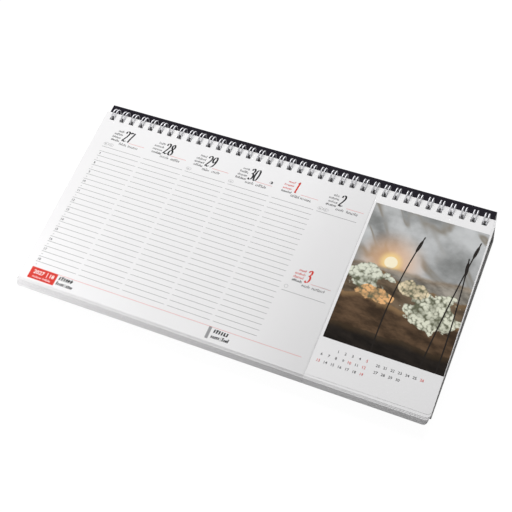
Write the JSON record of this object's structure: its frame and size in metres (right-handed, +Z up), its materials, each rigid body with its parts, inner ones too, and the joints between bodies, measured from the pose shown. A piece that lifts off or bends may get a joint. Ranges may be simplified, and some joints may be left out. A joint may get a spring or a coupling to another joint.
{
  "type": "desk calendar",
  "caption": "Low sloping desk calendar: weekly leaves and monthly picture leaves, side by side on one twin-loop wire, over a folded board wedge.",
  "frame": {"origin": "on the desk under the middle of the calendar's bounding box", "axes": "+X along the binding, +Y from the reader to the binding, +Z up"},
  "size_m": [0.323, 0.1778, 0.043],
  "materials": {
    "base_card": "black matt paper wrap on cardboard",
    "board": "plain grey chipboard",
    "leaves": "smooth white offset paper, printed",
    "wire": "bright silver wire"
  },
  "bodies": {
    "stand": {"base_wedge": "base_card", "backing_board": "board", "wire_binding": "wire"},
    "week_set": {"week_leaves": "leaves"},
    "month_set": {"month_leaves": "leaves"}
  },
  "joints": [
    {"name": "week_turn", "type": "hinge", "parent": "stand", "child": "week_set", "pos_m": [0.00139, 0.07288, 0.03678], "axis": [-1, 0, 0], "range_deg": [0, 180]},
    {"name": "month_turn", "type": "hinge", "parent": "stand", "child": "month_set", "pos_m": [0.00139, 0.07288, 0.03678], "axis": [-1, 0, 0], "range_deg": [0, 180]}
  ]
}
